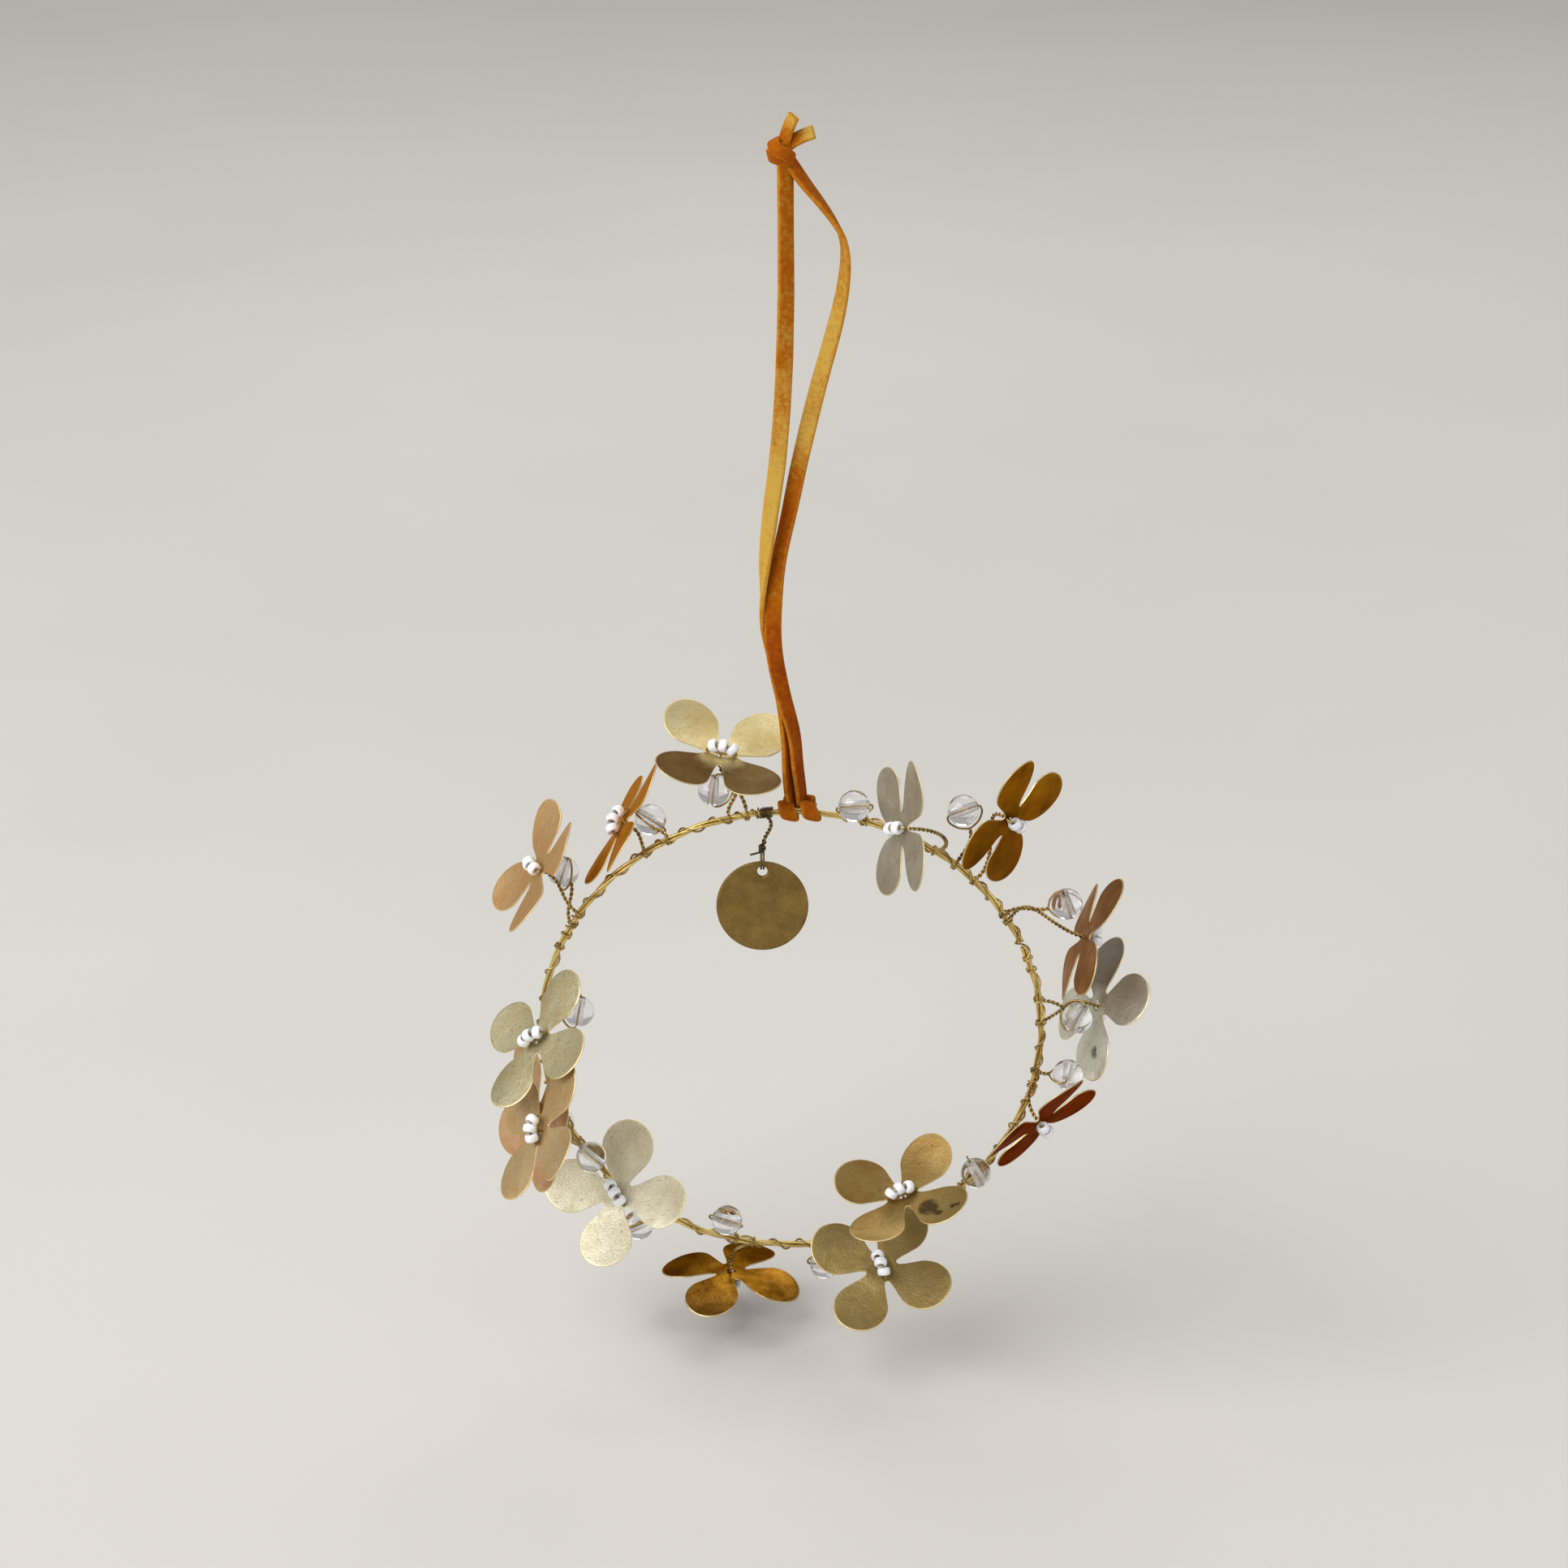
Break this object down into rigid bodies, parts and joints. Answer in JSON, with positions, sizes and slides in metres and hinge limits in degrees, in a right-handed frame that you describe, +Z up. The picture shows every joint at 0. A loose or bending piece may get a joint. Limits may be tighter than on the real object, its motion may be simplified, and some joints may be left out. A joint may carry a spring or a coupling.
{
  "type": "hanging flower wreath",
  "caption": "Small hanging wreath of twisted brass wire with stamped four-petal flowers, clear glass beads, a round tag and a suede lace hanger.",
  "frame": {"origin": "the hanging point, under the knot and between the two legs of the lace", "axes": "+Z up with the wreath hanging, -Y out of the front of the wreath, +X to the right seen from the front"},
  "size_m": [0.128, 0.0655, 0.2449],
  "materials": {
    "flower_brass": "stamped sheet, aged satin",
    "ring_brass": "drawn wire, satin",
    "wire_brass": "thin drawn wire, tarnished",
    "tag_brass": "sheet, aged satin",
    "clear_glass": "clear, polished",
    "white_glass": "opaque white, glossy",
    "suede": "suede, napped"
  },
  "bodies": {
    "hanger": {"lace_hitch": "suede", "lace_left_leg": "suede", "lace_right_leg": "suede", "lace_knot": "suede"},
    "wreath": {"ring_strand_1": "ring_brass", "ring_strand_2": "ring_brass", "ring_strand_3": "ring_brass", "binding_wire_1": "wire_brass", "binding_wire_2": "wire_brass", "binding_wire_3": "wire_brass", "binding_wire_4": "wire_brass", "binding_wire_5": "wire_brass", "seed_beads_01": "white_glass", "seed_beads_02": "white_glass", "seed_beads_03": "white_glass", "seed_beads_04": "white_glass", "seed_beads_05": "white_glass", "seed_beads_06": "white_glass", "seed_beads_07": "white_glass", "seed_beads_08": "white_glass", "seed_beads_09": "white_glass", "seed_beads_10": "white_glass", "seed_beads_11": "white_glass", "seed_beads_12": "white_glass", "seed_beads_13": "white_glass", "seed_beads_14": "white_glass", "seed_beads_15": "white_glass", "tag_wire": "wire_brass"},
    "tag": {"tag": "tag_brass"},
    "flower_01": {"flower_01": "flower_brass"},
    "flower_02": {"flower_02": "flower_brass"},
    "flower_03": {"flower_03": "flower_brass"},
    "flower_04": {"flower_04": "flower_brass"},
    "flower_05": {"flower_05": "flower_brass"},
    "flower_06": {"flower_06": "flower_brass"},
    "flower_07": {"flower_07": "flower_brass"},
    "flower_08": {"flower_08": "flower_brass"},
    "flower_09": {"flower_09": "flower_brass"},
    "flower_10": {"flower_10": "flower_brass"},
    "flower_11": {"flower_11": "flower_brass"},
    "flower_12": {"flower_12": "flower_brass"},
    "flower_13": {"flower_13": "flower_brass"},
    "flower_14": {"flower_14": "flower_brass"},
    "flower_15": {"flower_15": "flower_brass"},
    "glass_bead_01": {"glass_bead_01": "clear_glass"},
    "glass_bead_02": {"glass_bead_02": "clear_glass"},
    "glass_bead_03": {"glass_bead_03": "clear_glass"},
    "glass_bead_04": {"glass_bead_04": "clear_glass"},
    "glass_bead_05": {"glass_bead_05": "clear_glass"},
    "glass_bead_06": {"glass_bead_06": "clear_glass"},
    "glass_bead_07": {"glass_bead_07": "clear_glass"},
    "glass_bead_08": {"glass_bead_08": "clear_glass"},
    "glass_bead_09": {"glass_bead_09": "clear_glass"},
    "glass_bead_10": {"glass_bead_10": "clear_glass"},
    "glass_bead_11": {"glass_bead_11": "clear_glass"},
    "glass_bead_12": {"glass_bead_12": "clear_glass"},
    "glass_bead_13": {"glass_bead_13": "clear_glass"},
    "glass_bead_14": {"glass_bead_14": "clear_glass"},
    "glass_bead_15": {"glass_bead_15": "clear_glass"}
  },
  "joints": [
    {"name": "wreath_swing", "type": "hinge", "parent": "hanger", "child": "wreath", "pos_m": [0, 0, -0.123], "axis": [1, 0, 0], "range_deg": [-20, 15]},
    {"name": "tag_swing", "type": "hinge", "parent": "wreath", "child": "tag", "pos_m": [-0.00555, 0.00109, -0.13568], "axis": [0, -0.9923, 0.1236], "range_deg": [-45, 45]},
    {"name": "flower_01_turn", "type": "hinge", "parent": "wreath", "child": "flower_01", "pos_m": [0.02058, -0.01633, -0.11983], "axis": [-0.9445, -0.3011, 0.1312], "range_deg": [-30, 10]},
    {"name": "flower_02_turn", "type": "hinge", "parent": "wreath", "child": "flower_02", "pos_m": [0.04125, -0.00192, -0.12405], "axis": [0.7433, -0.6007, -0.2943], "range_deg": [-30, 30]},
    {"name": "flower_03_turn", "type": "hinge", "parent": "wreath", "child": "flower_03", "pos_m": [0.05705, 0.01067, -0.1538], "axis": [0.9272, 0.032, -0.3732], "range_deg": [-10, 5]},
    {"name": "flower_04_turn", "type": "hinge", "parent": "wreath", "child": "flower_04", "pos_m": [0.06008, 0.01198, -0.16907], "axis": [0.827, 0.3251, -0.4587], "range_deg": [-30, 30]},
    {"name": "flower_05_turn", "type": "hinge", "parent": "wreath", "child": "flower_05", "pos_m": [0.04835, -0.00147, -0.18776], "axis": [0.5826, -0.5546, -0.5942], "range_deg": [-30, 30]},
    {"name": "flower_06_turn", "type": "hinge", "parent": "wreath", "child": "flower_06", "pos_m": [0.02179, -0.00528, -0.2019], "axis": [-0.2419, -0.2978, 0.9235], "range_deg": [-30, 30]},
    {"name": "flower_07_turn", "type": "hinge", "parent": "wreath", "child": "flower_07", "pos_m": [0.01774, -0.00387, -0.21839], "axis": [-0.0664, -0.6102, 0.7894], "range_deg": [-30, 30]},
    {"name": "flower_08_turn", "type": "hinge", "parent": "wreath", "child": "flower_08", "pos_m": [-0.01226, 0.01726, -0.23069], "axis": [-0.0067, 0.0512, -0.9987], "range_deg": [-30, 30]},
    {"name": "flower_09_turn", "type": "hinge", "parent": "wreath", "child": "flower_09", "pos_m": [-0.03404, -0.00217, -0.20306], "axis": [-0.2784, -0.7437, 0.6078], "range_deg": [-10, 20]},
    {"name": "flower_10_turn", "type": "hinge", "parent": "wreath", "child": "flower_10", "pos_m": [-0.04772, -0.02019, -0.18022], "axis": [-0.803, -0.3659, 0.4705], "range_deg": [-30, 30]},
    {"name": "flower_11_turn", "type": "hinge", "parent": "wreath", "child": "flower_11", "pos_m": [-0.0492, -0.00788, -0.1833], "axis": [-0.8555, -0.4902, 0.1666], "range_deg": [-5, 20]},
    {"name": "flower_12_turn", "type": "hinge", "parent": "wreath", "child": "flower_12", "pos_m": [-0.04859, -0.00829, -0.16683], "axis": [-0.6562, -0.4048, 0.6369], "range_deg": [-30, 5]},
    {"name": "flower_13_turn", "type": "hinge", "parent": "wreath", "child": "flower_13", "pos_m": [-0.04816, 0.00314, -0.13616], "axis": [-0.8259, -0.1916, 0.5302], "range_deg": [-30, 30]},
    {"name": "flower_14_turn", "type": "hinge", "parent": "wreath", "child": "flower_14", "pos_m": [-0.03184, 0.00333, -0.12675], "axis": [-0.8734, 0.0042, 0.4869], "range_deg": [-30, 30]},
    {"name": "flower_15_turn", "type": "hinge", "parent": "wreath", "child": "flower_15", "pos_m": [-0.01328, 0.00106, -0.11194], "axis": [0.1462, -0.334, 0.9312], "range_deg": [-5, 5]},
    {"name": "glass_bead_01_spin", "type": "hinge", "parent": "wreath", "child": "glass_bead_01", "pos_m": [0.01181, -0.00322, -0.12061], "axis": [0.995, -0.0085, 0.0991], "continuous": true},
    {"name": "glass_bead_02_spin", "type": "hinge", "parent": "wreath", "child": "glass_bead_02", "pos_m": [0.03269, 0.00414, -0.12446], "axis": [0.9285, -0.0317, 0.37], "continuous": true},
    {"name": "glass_bead_03_spin", "type": "hinge", "parent": "wreath", "child": "glass_bead_03", "pos_m": [0.05273, 0.0017, -0.1428], "axis": [0.2822, 0.2678, -0.9212], "continuous": true},
    {"name": "glass_bead_04_spin", "type": "hinge", "parent": "wreath", "child": "glass_bead_04", "pos_m": [0.0552, -0.00034, -0.16588], "axis": [0.4472, -0.0764, 0.8912], "continuous": true},
    {"name": "glass_bead_05_spin", "type": "hinge", "parent": "wreath", "child": "glass_bead_05", "pos_m": [0.0539, 0.00284, -0.17952], "axis": [0.1961, 0.977, 0.0838], "continuous": true},
    {"name": "glass_bead_06_spin", "type": "hinge", "parent": "wreath", "child": "glass_bead_06", "pos_m": [0.03625, 0.00108, -0.20001], "axis": [0.4472, 0.0764, -0.8912], "continuous": true},
    {"name": "glass_bead_07_spin", "type": "hinge", "parent": "wreath", "child": "glass_bead_07", "pos_m": [0.00676, 0.01184, -0.22595], "axis": [1, 0, 0], "continuous": true},
    {"name": "glass_bead_08_spin", "type": "hinge", "parent": "wreath", "child": "glass_bead_08", "pos_m": [-0.01267, 0.0015, -0.21069], "axis": [0.9285, 0.0317, -0.37], "continuous": true},
    {"name": "glass_bead_09_spin", "type": "hinge", "parent": "wreath", "child": "glass_bead_09", "pos_m": [-0.03048, 0.01, -0.21617], "axis": [0.9206, 0.2516, 0.2988], "continuous": true},
    {"name": "glass_bead_10_spin", "type": "hinge", "parent": "wreath", "child": "glass_bead_10", "pos_m": [-0.03897, -0.0029, -0.19451], "axis": [0.7071, 0.0604, -0.7045], "continuous": true},
    {"name": "glass_bead_11_spin", "type": "hinge", "parent": "wreath", "child": "glass_bead_11", "pos_m": [-0.04589, 0.01162, -0.19415], "axis": [0.3714, -0.0793, 0.9251], "continuous": true},
    {"name": "glass_bead_12_spin", "type": "hinge", "parent": "wreath", "child": "glass_bead_12", "pos_m": [-0.04137, 0.00685, -0.16782], "axis": [0.1881, 0.2008, 0.9614], "continuous": true},
    {"name": "glass_bead_13_spin", "type": "hinge", "parent": "wreath", "child": "glass_bead_13", "pos_m": [-0.04396, 0.00944, -0.1394], "axis": [0.2873, -0.0818, 0.9543], "continuous": true},
    {"name": "glass_bead_14_spin", "type": "hinge", "parent": "wreath", "child": "glass_bead_14", "pos_m": [-0.02691, 0.00587, -0.1271], "axis": [0.8192, 0.049, -0.5714], "continuous": true},
    {"name": "glass_bead_15_spin", "type": "hinge", "parent": "wreath", "child": "glass_bead_15", "pos_m": [-0.0147, -0.00038, -0.11852], "axis": [0.0995, -0.085, 0.9914], "continuous": true}
  ]
}
